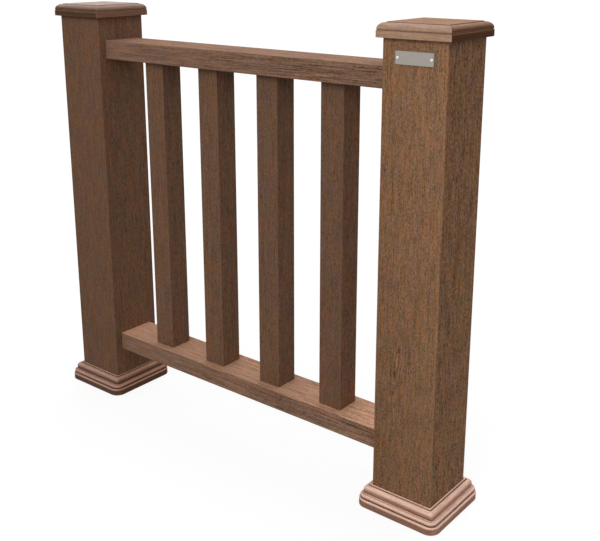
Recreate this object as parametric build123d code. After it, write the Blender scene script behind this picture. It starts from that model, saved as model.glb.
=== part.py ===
from build123d import *
import os

# A section of composite fence: two hollow square posts with moulded caps and skirts, two rails between them, four
# square balusters between the rails, and a small metal nameplate on the right post.
# Millimetres. The origin is the centre of the left post's foot, on the ground. X runs along the fence to the right
# post, the front faces -Y, and Z is up.

# Driving sizes of the fence
POST_SIDE = 120.0
POST_WALL = 10.0
POST_CORNER_R = 2.0
CLEAR_BAY = 700.0
CAP_UNDERSIDE_Z = 839.0

RAIL_DEPTH = 84.0
RAIL_HEIGHT = 38.0
RAIL_WALL = 8.0
RAIL_CORNER_R = 1.5
BOTTOM_RAIL_Z = 99.0
TOP_RAIL_DROP = 47.0

BALUSTER_SIDE = 50.0
BALUSTER_WALL = 8.0
BALUSTER_CORNER_R = 1.5
BALUSTER_COUNT = 4

# The cap: a fascia, a groove, a quarter-round and a raised panel
CAP_OVERHANG = 9.0
CAP_FASCIA_HEIGHT = 11.5
CAP_GROOVE_WIDTH = 1.2
CAP_GROOVE_DEPTH = 1.5
CAP_ROLL_R = 11.0
CAP_ROLL_SETBACK = 0.5
CAP_PANEL_RISE = 1.3
CAP_PANEL_GAP = 1.2
CAP_PANEL_GAP_DEPTH = 1.0
CAP_SOCKET_DEPTH = 8.0
CAP_CORNER_R = 2.0

# The skirt: a fascia, two beads, a wide roll and a thin lip against the post. Heights go up from the ground, and each
# step out starts from the member above it
SKIRT_HEIGHT = 38.5
SKIRT_FASCIA_HEIGHT = 12.0
SKIRT_LOW_BEAD_HEIGHT = 2.6
SKIRT_GROOVE_HEIGHT = 1.2
SKIRT_GROOVE_DEPTH = 4.7
SKIRT_HIGH_BEAD_HEIGHT = 6.2
SKIRT_HIGH_BEAD_FRONT = 2.0
SKIRT_LEDGE_RISE = 0.4
SKIRT_ROLL_OUT = 12.5
SKIRT_LEDGE_STEP = 1.5
SKIRT_HIGH_BEAD_STEP = 5.5
SKIRT_FASCIA_STEP = 3.0
SKIRT_ROLL_WAIST = 0.8
SKIRT_ROLL_BELLY = 5.1
SKIRT_LIP_WIDTH = 3.2
SKIRT_LIP_GAP = 1.6
SKIRT_LIP_GAP_DEPTH = 2.1
SKIRT_LIP_RISE = 1.8
SKIRT_CORNER_R = 20.0
SKIRT_CORNER_POWER = 2.2

# The steel shoe inside the foot of each post
SHOE_PLATE_THICKNESS = 6.0
SHOE_COLLAR_HEIGHT = 120.0
SHOE_COLLAR_WALL = 3.0
SHOE_HOLE_INSET = 16.0
SHOE_HOLE_R = 5.5

# The nameplate on the right post's front face
PLATE_LENGTH = 72.0
PLATE_HEIGHT = 22.0
PLATE_THICKNESS = 1.5
PLATE_CORNER_R = 1.5
PLATE_BELOW_CAP = 18.5
RIVET_INSET = 5.0
RIVET_HEAD_R = 2.4
RIVET_HEAD_HEIGHT = 1.1
RIVET_SHANK_R = 1.5

# Fits
CAP_CLEARANCE = 0.5
SKIRT_CLEARANCE = 0.5
SHOE_CLEARANCE = 1.0

# Steps that stand for each round stretch of a moulding
ROLL_STEPS = 8
BEAD_STEPS = 5

# Places worked out from the sizes
POST_HALF = POST_SIDE / 2
POST_SPACING = CLEAR_BAY + POST_SIDE
BAY_START_X = POST_HALF
BAY_MIDDLE_X = BAY_START_X + CLEAR_BAY / 2
POST_TOP_Z = CAP_UNDERSIDE_Z + CAP_SOCKET_DEPTH
POST_INSIDE = POST_SIDE - 2 * POST_WALL
TOP_RAIL_Z = CAP_UNDERSIDE_Z - TOP_RAIL_DROP - RAIL_HEIGHT
BALUSTER_GAP = (CLEAR_BAY - BALUSTER_COUNT * BALUSTER_SIDE) / (BALUSTER_COUNT + 1)
BALUSTER_PITCH = BALUSTER_SIDE + BALUSTER_GAP
BALUSTER_FOOT_Z = BOTTOM_RAIL_Z + RAIL_HEIGHT
BALUSTER_LENGTH = TOP_RAIL_Z - BALUSTER_FOOT_Z
SKIRT_LEDGE_OUT = SKIRT_ROLL_OUT + SKIRT_LEDGE_STEP
SKIRT_HIGH_BEAD_OUT = SKIRT_LEDGE_OUT + SKIRT_HIGH_BEAD_STEP
SKIRT_FASCIA_OUT = SKIRT_HIGH_BEAD_OUT + SKIRT_FASCIA_STEP
RIVET_SPACING = PLATE_LENGTH - 2 * RIVET_INSET
POSTS = {"left": 0.0, "right": POST_SPACING}


def rounded_square(side, corner_r, z):
    """A horizontal square face with round corners, centred on the Z axis at height z."""
    return Pos(0, 0, z) * RectangleRounded(side, side, corner_r)


def square_tube(width, depth, length, wall, corner_r):
    """A hollow bar along Z from z = 0, centred on the Z axis, with round outer corners."""
    outside = extrude(RectangleRounded(width, depth, corner_r), length)
    inside = extrude(Rectangle(width - 2 * wall, depth - 2 * wall), length)
    return outside - inside


def square_ring(outer_side, inner_side, low_z, height):
    """A square frame cut from a plain slab."""
    ring = extrude(Rectangle(outer_side, outer_side) - Rectangle(inner_side, inner_side), height)
    return Pos(0, 0, low_z) * ring


def arc_levels(start_out, start_z, end_out, end_z, steps):
    """Points of a quarter ellipse from a vertical start to a level end, as (out, z) pairs."""
    levels = []
    for step in range(steps + 1):
        turn = 90 * step / steps
        drop = 1 - Vector(1, 0, 0).rotate(Axis.Z, turn).X
        climb = Vector(1, 0, 0).rotate(Axis.Z, turn).Y
        levels.append((start_out + (end_out - start_out) * drop, start_z + (end_z - start_z) * climb))
    return levels


def moulding_stack(levels, corner_of):
    """A solid of stacked rounded squares, ruled from each (half side, z) level to the next."""
    sections = [rounded_square(2 * half, corner_of(half), z) for half, z in levels]
    return loft(sections, ruled=True)


def post():
    """The hollow post, which stands on its shoe's plate and ends inside the cap."""
    length = POST_TOP_Z - SHOE_PLATE_THICKNESS
    return Pos(0, 0, SHOE_PLATE_THICKNESS) * square_tube(POST_SIDE, POST_SIDE, length, POST_WALL, POST_CORNER_R)


def shoe():
    """The steel foot: a plate under the post, and a collar inside it that keeps it upright."""
    collar_side = POST_INSIDE - 2 * SHOE_CLEARANCE
    collar_inside = collar_side - 2 * SHOE_COLLAR_WALL
    hole_spacing = collar_inside - 2 * SHOE_HOLE_INSET
    plate = extrude(RectangleRounded(POST_SIDE, POST_SIDE, POST_CORNER_R), SHOE_PLATE_THICKNESS)
    collar = square_ring(collar_side, collar_inside, SHOE_PLATE_THICKNESS, SHOE_COLLAR_HEIGHT)
    hole = extrude(Circle(SHOE_HOLE_R), SHOE_PLATE_THICKNESS)
    holes = [place * hole for place in GridLocations(hole_spacing, hole_spacing, 2, 2)]
    return plate + collar - holes


def cap_corner(half):
    """The cap keeps one small corner radius at every level."""
    return CAP_CORNER_R


def cap():
    """The moulded cap, with a socket for the post's end in its underside."""
    fascia_half = POST_HALF + CAP_OVERHANG
    groove_z = CAP_UNDERSIDE_Z + CAP_FASCIA_HEIGHT
    roll_z = groove_z + CAP_GROOVE_WIDTH
    roll_half = fascia_half - CAP_ROLL_SETBACK
    roll = arc_levels(roll_half, roll_z, roll_half - CAP_ROLL_R, roll_z + CAP_ROLL_R, ROLL_STEPS)
    panel_half = roll[-1][0] - CAP_PANEL_GAP
    panel_z = roll[-1][1] + CAP_PANEL_RISE

    fascia = moulding_stack([(fascia_half, CAP_UNDERSIDE_Z), (fascia_half, groove_z)], cap_corner)
    groove_half = fascia_half - CAP_GROOVE_DEPTH
    groove = moulding_stack([(groove_half, groove_z), (groove_half, roll_z)], cap_corner)
    body = fascia + groove + moulding_stack(roll, cap_corner)
    body -= square_ring(
        2 * (panel_half + CAP_PANEL_GAP), 2 * panel_half, roll[-1][1] - CAP_PANEL_GAP_DEPTH, CAP_PANEL_GAP_DEPTH
    )
    body += Pos(0, 0, roll[-1][1]) * extrude(Rectangle(2 * panel_half, 2 * panel_half), panel_z - roll[-1][1])

    socket_side = POST_SIDE + 2 * CAP_CLEARANCE
    socket = Pos(0, 0, CAP_UNDERSIDE_Z) * extrude(Rectangle(socket_side, socket_side), CAP_SOCKET_DEPTH)
    return body - socket


def skirt_corner(half):
    """The skirt's plan corners are sharp at the post and rounder the further out a level stands."""
    share = (half - POST_HALF) / SKIRT_FASCIA_OUT
    return SKIRT_CORNER_R * share**SKIRT_CORNER_POWER


def skirt():
    """The moulded ring around the foot of the post, which stands on the ground."""
    low_bead_z = SKIRT_FASCIA_HEIGHT
    groove_z = low_bead_z + SKIRT_LOW_BEAD_HEIGHT
    high_bead_z = groove_z + SKIRT_GROOVE_HEIGHT
    roll_z = high_bead_z + SKIRT_HIGH_BEAD_HEIGHT
    lip_z = SKIRT_HEIGHT - SKIRT_LIP_RISE
    groove_out = SKIRT_FASCIA_OUT - SKIRT_GROOVE_DEPTH
    roll_in = SKIRT_LIP_WIDTH + SKIRT_LIP_GAP
    bead_widest_z = high_bead_z + SKIRT_HIGH_BEAD_FRONT
    roll_widest_z = roll_z + SKIRT_ROLL_BELLY

    outline = [(SKIRT_FASCIA_OUT, 0.0)]
    outline += arc_levels(SKIRT_FASCIA_OUT, low_bead_z, groove_out, groove_z, BEAD_STEPS)
    outline += [(groove_out, high_bead_z)]
    outline += arc_levels(SKIRT_HIGH_BEAD_OUT, bead_widest_z, SKIRT_LEDGE_OUT, roll_z, BEAD_STEPS)
    outline += [(SKIRT_ROLL_OUT - SKIRT_ROLL_WAIST, roll_z + SKIRT_LEDGE_RISE)]
    outline += arc_levels(SKIRT_ROLL_OUT, roll_widest_z, roll_in, lip_z, ROLL_STEPS)

    ring = moulding_stack([(POST_HALF + out, z) for out, z in outline], skirt_corner)
    lip_side = 2 * (POST_HALF + SKIRT_LIP_WIDTH)
    ring += Pos(0, 0, lip_z) * extrude(Rectangle(lip_side, lip_side), SKIRT_LIP_RISE)
    ring -= square_ring(2 * (POST_HALF + roll_in), lip_side, lip_z - SKIRT_LIP_GAP_DEPTH, SKIRT_LIP_GAP_DEPTH)
    opening_side = POST_SIDE + 2 * SKIRT_CLEARANCE
    return ring - extrude(Rectangle(opening_side, opening_side), SKIRT_HEIGHT)


def rail(low_z):
    """A hollow rail along X, whose ends meet the posts' inner faces."""
    bar = square_tube(RAIL_HEIGHT, RAIL_DEPTH, CLEAR_BAY, RAIL_WALL, RAIL_CORNER_R)
    return Pos(BAY_START_X, 0, low_z + RAIL_HEIGHT / 2) * Rot(0, 90, 0) * bar


def baluster(index):
    """A hollow upright between the rails, counted from the left post."""
    x = BAY_MIDDLE_X + (index - (BALUSTER_COUNT - 1) / 2) * BALUSTER_PITCH
    bar = square_tube(BALUSTER_SIDE, BALUSTER_SIDE, BALUSTER_LENGTH, BALUSTER_WALL, BALUSTER_CORNER_R)
    return Pos(x, 0, BALUSTER_FOOT_Z) * bar


def on_post_face(x, shape):
    """Turns a shape that stands along Z to face -Y, on the right post's front, x off the post's middle."""
    plate_z = CAP_UNDERSIDE_Z - PLATE_BELOW_CAP - PLATE_HEIGHT / 2
    return Pos(POST_SPACING + x, -POST_HALF, plate_z) * Rot(90, 0, 0) * shape


def nameplate():
    """The metal plate, with a hole for each rivet."""
    plate = extrude(RectangleRounded(PLATE_LENGTH, PLATE_HEIGHT, PLATE_CORNER_R), PLATE_THICKNESS)
    hole = extrude(Circle(RIVET_SHANK_R), PLATE_THICKNESS)
    holes = [place * hole for place in GridLocations(RIVET_SPACING, 1, 2, 1)]
    return on_post_face(0, plate - holes)


def rivet(x):
    """A round-headed rivet through the plate."""
    shank = extrude(Circle(RIVET_SHANK_R), PLATE_THICKNESS)
    dome_r = (RIVET_HEAD_R**2 + RIVET_HEAD_HEIGHT**2) / (2 * RIVET_HEAD_HEIGHT)
    dome = Pos(0, 0, PLATE_THICKNESS + RIVET_HEAD_HEIGHT - dome_r) * Sphere(dome_r)
    above_plate = Pos(0, 0, PLATE_THICKNESS) * extrude(Circle(RIVET_HEAD_R), RIVET_HEAD_HEIGHT)
    return on_post_face(x, shank + (dome & above_plate))


os.makedirs("parts", exist_ok=True)

pieces = {
    "top_rail": rail(TOP_RAIL_Z),
    "bottom_rail": rail(BOTTOM_RAIL_Z),
    "nameplate": nameplate(),
    "nameplate_rivet_left": rivet(-RIVET_SPACING / 2),
    "nameplate_rivet_right": rivet(RIVET_SPACING / 2),
}
for side, post_x in POSTS.items():
    pieces[f"{side}_post"] = Pos(post_x, 0, 0) * post()
    pieces[f"{side}_shoe"] = Pos(post_x, 0, 0) * shoe()
    pieces[f"{side}_cap"] = Pos(post_x, 0, 0) * cap()
    pieces[f"{side}_skirt"] = Pos(post_x, 0, 0) * skirt()
for index in range(BALUSTER_COUNT):
    pieces[f"baluster_{index + 1}"] = baluster(index)

for node, shape in pieces.items():
    export_step(shape, f"parts/{node}.step")
    print(node, round(shape.volume), "cubic mm")
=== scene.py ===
# %% [markdown]
# A section of composite fence
#
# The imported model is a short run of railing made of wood-plastic composite: a hollow square post at each
# end with a moulded cap and a moulded skirt, a top rail and a bottom rail between the posts, and square
# balusters between the rails. A small metal nameplate is riveted to the right post. This lesson gives
# every one of those pieces its real surface and finish. Each new piece sits exactly where its solid is in
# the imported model.

import math

import bpy
import numpy as np
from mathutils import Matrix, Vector


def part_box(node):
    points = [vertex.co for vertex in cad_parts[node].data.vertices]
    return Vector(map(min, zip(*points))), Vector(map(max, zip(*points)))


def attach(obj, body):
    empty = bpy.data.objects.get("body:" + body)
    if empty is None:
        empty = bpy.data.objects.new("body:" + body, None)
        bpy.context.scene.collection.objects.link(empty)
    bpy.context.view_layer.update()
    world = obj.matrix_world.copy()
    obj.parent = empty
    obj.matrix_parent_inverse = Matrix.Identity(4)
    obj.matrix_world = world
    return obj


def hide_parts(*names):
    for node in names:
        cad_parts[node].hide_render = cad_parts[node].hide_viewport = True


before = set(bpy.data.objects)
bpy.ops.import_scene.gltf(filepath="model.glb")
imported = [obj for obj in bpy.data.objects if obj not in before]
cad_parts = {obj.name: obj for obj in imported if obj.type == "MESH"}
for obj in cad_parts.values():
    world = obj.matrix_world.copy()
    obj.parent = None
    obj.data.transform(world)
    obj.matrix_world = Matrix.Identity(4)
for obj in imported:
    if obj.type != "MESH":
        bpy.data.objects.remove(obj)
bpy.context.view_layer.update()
MM = 0.001

# %% [markdown]
# The camera
#
# The picture was taken from the front right, a little higher than the caps, with the upright edges almost
# upright. A tilted camera makes uprights lean together, and a lens that is shifted down instead keeps them
# straight. The shift stays small here, because a large one would push the fence out of the picture when it
# is seen from other sides, so the camera does part of the job by tilting.

# %% Camera
IMAGE_WIDTH = 600
IMAGE_HEIGHT = 541
SENSOR_MM = 36.0
FOCAL_PIXELS = 911.0
AXIS_PIXEL_Y = 198.5
CAMERA_PLACE = (1.570, -1.280, 0.970)
CAMERA_PITCH = -15.17
CAMERA_YAW = 38.72

camera_data = bpy.data.cameras.new("camera")
camera_data.sensor_width = SENSOR_MM
camera_data.lens = FOCAL_PIXELS * SENSOR_MM / IMAGE_WIDTH
camera_data.shift_y = (AXIS_PIXEL_Y - IMAGE_HEIGHT / 2) / IMAGE_WIDTH
camera = bpy.data.objects.new("camera", camera_data)
camera.location = CAMERA_PLACE
camera.rotation_euler = (math.radians(90 + CAMERA_PITCH), 0, math.radians(CAMERA_YAW))
bpy.context.scene.collection.objects.link(camera)
bpy.context.scene.camera = camera
bpy.context.scene.view_settings.view_transform = "Standard"
print("lens", round(camera_data.lens, 1), "mm, shift", round(camera_data.shift_y, 3))

# %% [markdown]
# Light, floor and background
#
# A fence photographed on white is lit by a big soft ceiling, pale walls and soft lamps. The world does the
# work of the ceiling and walls: its light grows from the horizon up to the zenith, so tops are brightest
# and no hard shadow falls. Two sun lamps with wide discs are the soft lamps. The low one at the front
# keeps the shadow under the caps short, and a weaker one lights the back. What the camera sees behind the
# fence is plain white, and so is what shiny surfaces mirror.

# %% Node helpers
def put(tree, kind, values=None, **settings):
    """Adds a node, sets its properties, and sets its inputs, or links those that are given a socket."""
    node = tree.nodes.new(kind)
    for key, value in settings.items():
        setattr(node, key, value)
    for key, value in (values or {}).items():
        if isinstance(value, bpy.types.NodeSocket):
            tree.links.new(value, node.inputs[key])
        else:
            node.inputs[key].default_value = value
    return node


def math_node(tree, operation, first, second):
    """One step of arithmetic on two sockets or numbers."""
    return put(tree, "ShaderNodeMath", {0: first, 1: second}, operation=operation).outputs[0]


def span(tree, value, source, target):
    """Maps a value from the two ends of source to the two ends of target, in a straight line."""
    values = {"Value": value, 1: source[0], 2: source[1], 3: target[0], 4: target[1]}
    return put(tree, "ShaderNodeMapRange", values).outputs[0]


def sees_background(tree):
    """A socket that is 1 on rays from the camera, off shiny surfaces and through glass, and 0 on
    others."""
    path = put(tree, "ShaderNodeLightPath").outputs
    direct = math_node(tree, "MAXIMUM", path["Is Camera Ray"], path["Is Glossy Ray"])
    return math_node(tree, "MAXIMUM", direct, path["Is Transmission Ray"])


def new_material(name):
    """A material with an empty node tree. Returns both."""
    material = bpy.data.materials.new(name)
    material.use_nodes = True
    material.node_tree.nodes.clear()
    return material, material.node_tree


# %% World and lamps
HORIZON_LIGHT = 0.35
ZENITH_LIGHT = 0.9
WHITE = (1.0, 1.0, 1.0, 1.0)
WHOLE = (0.0, 1.0)

world = bpy.data.worlds.new("soft_ceiling")
bpy.context.scene.world = world
world.use_nodes = True
sky = world.node_tree
sky.nodes.clear()
direction = put(sky, "ShaderNodeTexCoord")
height = put(sky, "ShaderNodeSeparateXYZ", {0: direction.outputs["Generated"]})
climb = span(sky, height.outputs["Z"], WHOLE, (HORIZON_LIGHT, ZENITH_LIGHT))
ceiling = put(sky, "ShaderNodeBackground", {"Color": WHITE, "Strength": climb})
backdrop = put(sky, "ShaderNodeBackground", {"Color": WHITE, "Strength": 1.0})
choice = {0: sees_background(sky), 1: ceiling.outputs[0], 2: backdrop.outputs[0]}
chosen = put(sky, "ShaderNodeMixShader", choice)
put(sky, "ShaderNodeOutputWorld", {"Surface": chosen.outputs[0]})


def lamp(name, strength, azimuth, elevation, disc):
    """A far lamp at an azimuth, anticlockwise from the front, and an elevation. disc is how wide it looks.
    All three are in degrees."""
    data = bpy.data.lights.new(name, "SUN")
    data.energy = strength
    data.angle = math.radians(disc)
    turn, rise = math.radians(azimuth), math.radians(elevation)
    source = Vector((math.sin(turn) * math.cos(rise), -math.cos(turn) * math.cos(rise), math.sin(rise)))
    thing = bpy.data.objects.new(name, data)
    thing.rotation_euler = source.to_track_quat("Z", "Y").to_euler()
    bpy.context.scene.collection.objects.link(thing)
    print(name, "shines from", tuple(round(part, 2) for part in source))


lamp("front_lamp", strength=1.15, azimuth=10.0, elevation=28.0, disc=34.0)
lamp("back_lamp", strength=0.5, azimuth=205.0, elevation=40.0, disc=40.0)

# %% [markdown]
# The floor is a wide flat sheet. The camera sees it almost white, made of some glow and some reflected
# light, so that the fence's soft shadow still shows. For all other light it is a middling grey, which
# keeps it from throwing too much light back up under the rails.

# %% Floor
FLOOR_HALF = 30.0
FLOOR_DROP = 0.2 * MM
FLOOR_BOUNCE = 0.35
FLOOR_SEEN = 0.2
FLOOR_GLOW = 0.84

floor_mesh = bpy.data.meshes.new("floor")
ways = [(-1, -1), (1, -1), (1, 1), (-1, 1)]
floor_points = [(FLOOR_HALF * x, FLOOR_HALF * y, -FLOOR_DROP) for x, y in ways]
floor_mesh.from_pydata(floor_points, [], [(0, 1, 2, 3)])
floor = bpy.data.objects.new("floor", floor_mesh)
bpy.context.scene.collection.objects.link(floor)

floor_paint, tree = new_material("pale_floor")
seen = sees_background(tree)
matt = put(tree, "ShaderNodeBsdfDiffuse", {"Color": span(tree, seen, WHOLE, (FLOOR_BOUNCE, FLOOR_SEEN))})
lit = put(tree, "ShaderNodeEmission", {"Strength": math_node(tree, "MULTIPLY", seen, FLOOR_GLOW)})
both = put(tree, "ShaderNodeAddShader", {0: matt.outputs[0], 1: lit.outputs[0]})
put(tree, "ShaderNodeOutputMaterial", {"Surface": both.outputs[0]})
floor_mesh.materials.append(floor_paint)
print("floor", 2 * FLOOR_HALF, "m wide")

# %% [markdown]
# Rings of points
#
# Posts, rails, balusters, caps and skirts all have the same kind of cross section: a rectangle with round
# corners. One ring of points describes it. Each point belongs to one corner of the rectangle or to the
# flat between two, and it leans outwards in one direction, so a ring of any size is worked out from the
# same few arrays. Every ring of a piece has the same number of points, which lets rings be stacked into a
# surface.

# %% Ring pattern
def ring_pattern(flat_steps, corner_steps):
    """The plan of a rounded rectangle, anticlockwise from the middle of its back left corner.

    A point is (ax (hx - r) + r nx, ay (hy - r) + r ny), where hx and hy are the half sizes and r the
    corner radius. On a flat the lean (nx, ny) is constant and (ax, ay) runs from one corner's centre to
    the next. In a corner (ax, ay) stays and the lean turns by 90 degrees. flat_steps gives the steps on
    the left and right, and on the front and back. Returns (ax, ay, nx, ny, side), where side counts the
    four sides from the left one, and a side runs from the middle of one corner to the middle of the next.
    """
    corners = [(-1, 1), (-1, -1), (1, -1), (1, 1)]
    half = corner_steps // 2
    parts = []
    for number, (start, end) in enumerate(zip(corners, corners[1:] + corners[:1])):
        lean = math.pi * (1 + number / 2)
        flat = np.arange(flat_steps[number % 2]) / flat_steps[number % 2]
        share = np.concatenate([np.zeros(half), flat, np.ones(half)])
        turn = np.arange(half) / half
        angle = lean + math.pi / 4 * np.concatenate([turn - 1, np.zeros(len(flat)), turn])
        ax = start[0] + (end[0] - start[0]) * share
        ay = start[1] + (end[1] - start[1]) * share
        parts.append(np.stack([ax, ay, np.cos(angle), np.sin(angle), np.full(len(share), number)]))
    return np.concatenate(parts, axis=1)


def rings(pattern, half_x, half_y, corner_r):
    """Ring points as x and y, with one row for each entry of half_x, half_y and corner_r."""
    ax, ay, nx, ny, _ = pattern
    hx, hy, r = (np.asarray(value, float)[:, None] for value in (half_x, half_y, corner_r))
    return ax * (hx - r) + r * nx, ay * (hy - r) + r * ny


trial = ring_pattern((4, 4), 2)
print("a ring of", trial.shape[1], "points, on sides", sorted(set(trial[4])))

# %% [markdown]
# From rows of points to a mesh
#
# A surface is a grid of rows and columns. The columns always close round the ring. The rows either close
# too, as on a hollow bar whose inside comes back to its outside, or end in a pole, as in the middle of a
# cap's top. The mesh also keeps what the finish needs: a map named grain that holds real distances across
# and along the grain, and plain numbers for each point, such as how deep the embossing is there.

# %% Grid to mesh
SHARP_ANGLE = math.radians(38)
SEED_SHIFT = np.array([0.7, 0.3])
CUBIC_CM = 1e-6


def grid_points(x, y, z):
    """Grids of x, y and z as one list of points, row after row."""
    return np.stack(np.broadcast_arrays(x, y, z), -1).reshape(-1, 3)


def grid_faces(rows, columns, close_rows):
    """Corners of each face as point numbers: row i, column j joins its right and upper neighbours, and the
    last column joins the first. Also gives the row and the column of each face."""
    last = rows if close_rows else rows - 1
    row, column = (part.ravel() for part in np.meshgrid(np.arange(last), np.arange(columns), indexing="ij"))
    right = (column + 1) % columns
    here = row * columns
    above = (row + 1) % rows * columns
    return np.stack([here + column, here + right, above + right, above + column], 1), row, column


def pole_faces(rows, columns):
    """Triangles that close the first row round one more point, and the last row round a second one."""
    column = np.arange(columns)
    right = (column + 1) % columns
    top = (rows - 1) * columns
    first_fan = np.stack([right, column, np.full(columns, rows * columns)], 1)
    last_fan = np.stack([top + column, top + right, np.full(columns, rows * columns + 1)], 1)
    return np.concatenate([first_fan, last_fan])


def mesh_from_faces(name, points, faces, grain, marks, seed):
    """Puts points, arrays of faces with three or four corners, the grain map for each face corner and the
    marks for each point into a mesh. The grain map moves by seed times SEED_SHIFT, so that pieces differ.
    Edges that turn by more than SHARP_ANGLE stay sharp."""
    mesh = bpy.data.meshes.new(name)
    mesh.vertices.add(len(points))
    mesh.vertices.foreach_set("co", points.astype(np.float32).ravel())
    sizes = np.concatenate([np.full(len(part), part.shape[1]) for part in faces])
    mesh.loops.add(int(sizes.sum()))
    mesh.loops.foreach_set("vertex_index", np.concatenate([part.ravel() for part in faces]).astype(np.int32))
    mesh.polygons.add(len(sizes))
    mesh.polygons.foreach_set("loop_start", (np.cumsum(sizes) - sizes).astype(np.int32))
    grain_map = np.concatenate([part.reshape(-1, 2) for part in grain]) + seed * SEED_SHIFT
    mesh.uv_layers.new(name="grain").data.foreach_set("uv", grain_map.astype(np.float32).ravel())
    for mark, values in marks.items():
        attribute = mesh.attributes.new(mark, "FLOAT", "POINT")
        attribute.data.foreach_set("value", np.broadcast_to(values, len(points)).astype(np.float32))
    mesh.update(calc_edges=True)
    mesh.validate()
    mesh.shade_smooth()
    mesh.set_sharp_from_angle(angle=SHARP_ANGLE)
    return mesh


def volume_of(mesh):
    """Volume inside a closed mesh, above 0 if its faces point out: the sum of a (b x c) / 6 over
    triangles."""
    mesh.calc_loop_triangles()
    corners = np.zeros(len(mesh.loop_triangles) * 3, np.int32)
    mesh.loop_triangles.foreach_get("vertices", corners)
    points = np.zeros(len(mesh.vertices) * 3, np.float32)
    mesh.vertices.foreach_get("co", points)
    a, b, c = points.reshape(-1, 3)[corners].reshape(-1, 3, 3).transpose(1, 0, 2).astype(float)
    return float(np.sum(a * np.cross(b, c)) / 6)


def add_piece(name, node, points, faces, grain, marks, seed=0):
    """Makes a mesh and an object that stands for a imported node, and prints its size."""
    mesh = mesh_from_faces(name, points, faces, grain, marks, seed)
    piece = bpy.data.objects.new(name, mesh)
    bpy.context.scene.collection.objects.link(piece)
    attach(piece, "root")
    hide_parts(node)
    volume = round(volume_of(mesh) / CUBIC_CM, 1)
    print(name, "triangles", len(mesh.loop_triangles), "volume", volume, "cubic cm")
    return piece


# %% [markdown]
# Wood grain pressed into plastic
#
# The bars leave the factory with a wood pattern rolled into them: long shallow grooves that start and stop
# at random, and here and there the arches of a board sawn through its heart. The grooves are real dents in
# these meshes, at most 0.14 mm deep, and the depth is kept as a mark so that the colour can follow it.

# %% Streaks
def smooth(share):
    """Goes from 0 to 1 as share does, level at both ends: 3 s^2 - 2 s^3."""
    share = np.clip(share, 0.0, 1.0)
    return share * share * (3 - 2 * share)


def streaks(across, along, width, length, seed, around=None):
    """Random streaks from 0 to 1. A lattice has columns one width apart, and each column holds random
    heights one length apart from its own random start. The value is blended smoothly along a column and
    between two columns. Where around is given, the columns repeat after that distance, so the pattern
    closes round a ring."""
    rng = np.random.default_rng(seed)
    along = along - np.min(along)
    across = across - np.min(across)
    columns = int(round(around / width)) if around else int(np.ceil(np.max(across) / width)) + 2
    step = around / columns if around else width
    cells = int(np.ceil(np.max(along) / length)) + 3
    start = rng.random(columns)
    heights = rng.random((columns, cells))
    place = across / step
    column = np.floor(place).astype(int)

    def read(number):
        number = number % columns
        reach = along / length + start[number]
        cell = np.floor(reach).astype(int)
        blend = smooth(reach - cell)
        return heights[number, cell] * (1 - blend) + heights[number, cell + 1] * blend

    blend = smooth(place - column)
    return read(column) * (1 - blend) + read(column + 1) * blend


# %% [markdown]
# Hollow bars
#
# A post, a rail and a baluster are the same thing at different sizes: a hollow square bar from an
# extruder. Extruding a curve would give the shape, but not dents in it. Here the outside is a stack of
# rings along the bar, pushed in where the embossing is, and two last rings turn back through the bar's
# wall to make its inside.

# %% Bars
EMBOSS_DEPTH = 0.14 * MM
EMBOSS_FROM = 0.5
EMBOSS_RANGE = 0.25
COARSE_STREAK = (2.8 * MM, 38 * MM)
FINE_STREAK = (2.0 * MM, 14 * MM)
ARCH_SHARE = 0.1
CREST_REACH = 1.0 * MM
CREST_FLATTENING = 0.7
INSIDE_CORNER_R = 0.6 * MM
STEP_ROUND = 1.2 * MM
STEP_ALONG = 5.0 * MM
CORNER_STEPS = 6


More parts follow.
